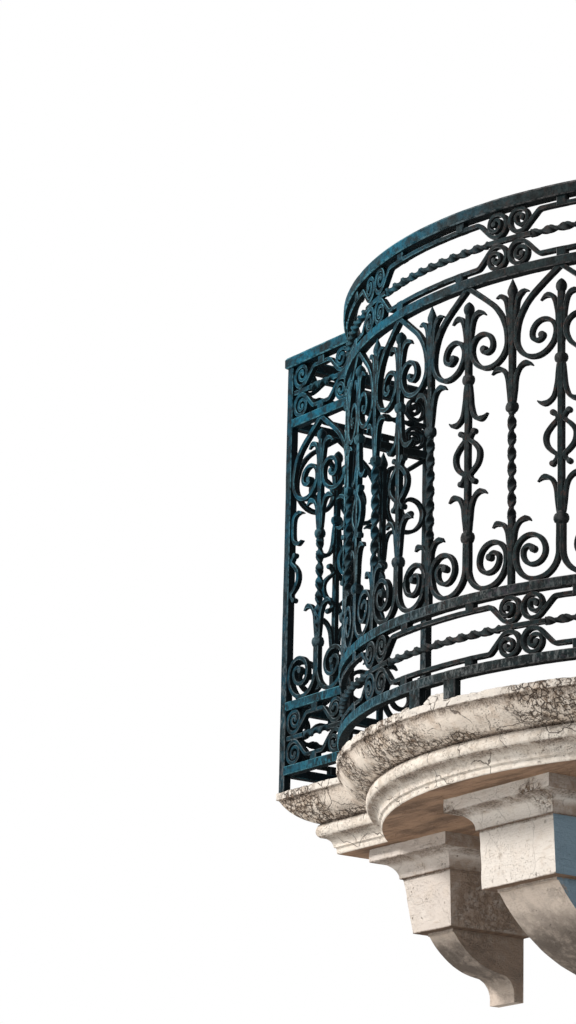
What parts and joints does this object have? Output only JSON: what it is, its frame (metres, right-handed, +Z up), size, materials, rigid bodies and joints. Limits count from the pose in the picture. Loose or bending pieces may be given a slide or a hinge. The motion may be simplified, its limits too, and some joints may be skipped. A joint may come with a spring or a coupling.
{
  "type": "bowed iron balcony",
  "caption": "Bowed balcony with straight wings: scrolled iron railing with friezes above and below, on a moulded stone slab carried by corbels.",
  "frame": {"origin": "on the wall face, at the middle of the back of the slab", "axes": "-Y is the front, away from the wall; +X runs along the wall; +Z is up"},
  "size_m": [1.764, 0.663, 1.631],
  "materials": {
    "stone": "peeling cream limewash over stone, dirty in the hollows",
    "iron": "old dark blue-green paint, worn and rusty in places"
  },
  "bodies": {
    "root": {"bed_moulding": "stone", "bow_feet": "iron", "bow_panel_1": "iron", "bow_panel_2": "iron", "bow_panel_3": "iron", "bow_panel_4": "iron", "bow_panel_5": "iron", "bow_panel_6": "iron", "corbel_cap_centre": "stone", "corbel_cap_left": "stone", "corbel_cap_right": "stone", "corbel_centre": "stone", "corbel_left": "stone", "corbel_right": "stone", "corner_posts": "iron", "frieze_bars_bow": "iron", "frieze_members_bow": "iron", "handrail_bow": "iron", "handrail_left": "iron", "handrail_right": "iron", "lower_frieze_bow": "iron", "lower_frieze_return_left": "iron", "lower_frieze_return_right": "iron", "lower_frieze_wing_left": "iron", "lower_frieze_wing_right": "iron", "lower_rails_bow": "iron", "lower_rails_return_left": "iron", "lower_rails_return_right": "iron", "lower_rails_wing_left": "iron", "lower_rails_wing_right": "iron", "return_panel_left": "iron", "return_panel_right": "iron", "slab": "stone", "upper_frieze_bow": "iron", "upper_frieze_return_left": "iron", "upper_frieze_return_right": "iron", "upper_frieze_wing_left": "iron", "upper_frieze_wing_right": "iron", "upper_rail_bow": "iron", "upper_rail_return_left": "iron", "upper_rail_return_right": "iron", "upper_rail_wing_left": "iron", "upper_rail_wing_right": "iron", "wall_posts": "iron", "wing_panel_left": "iron", "wing_panel_right": "iron", "wing_posts": "iron"}
  },
  "joints": []
}
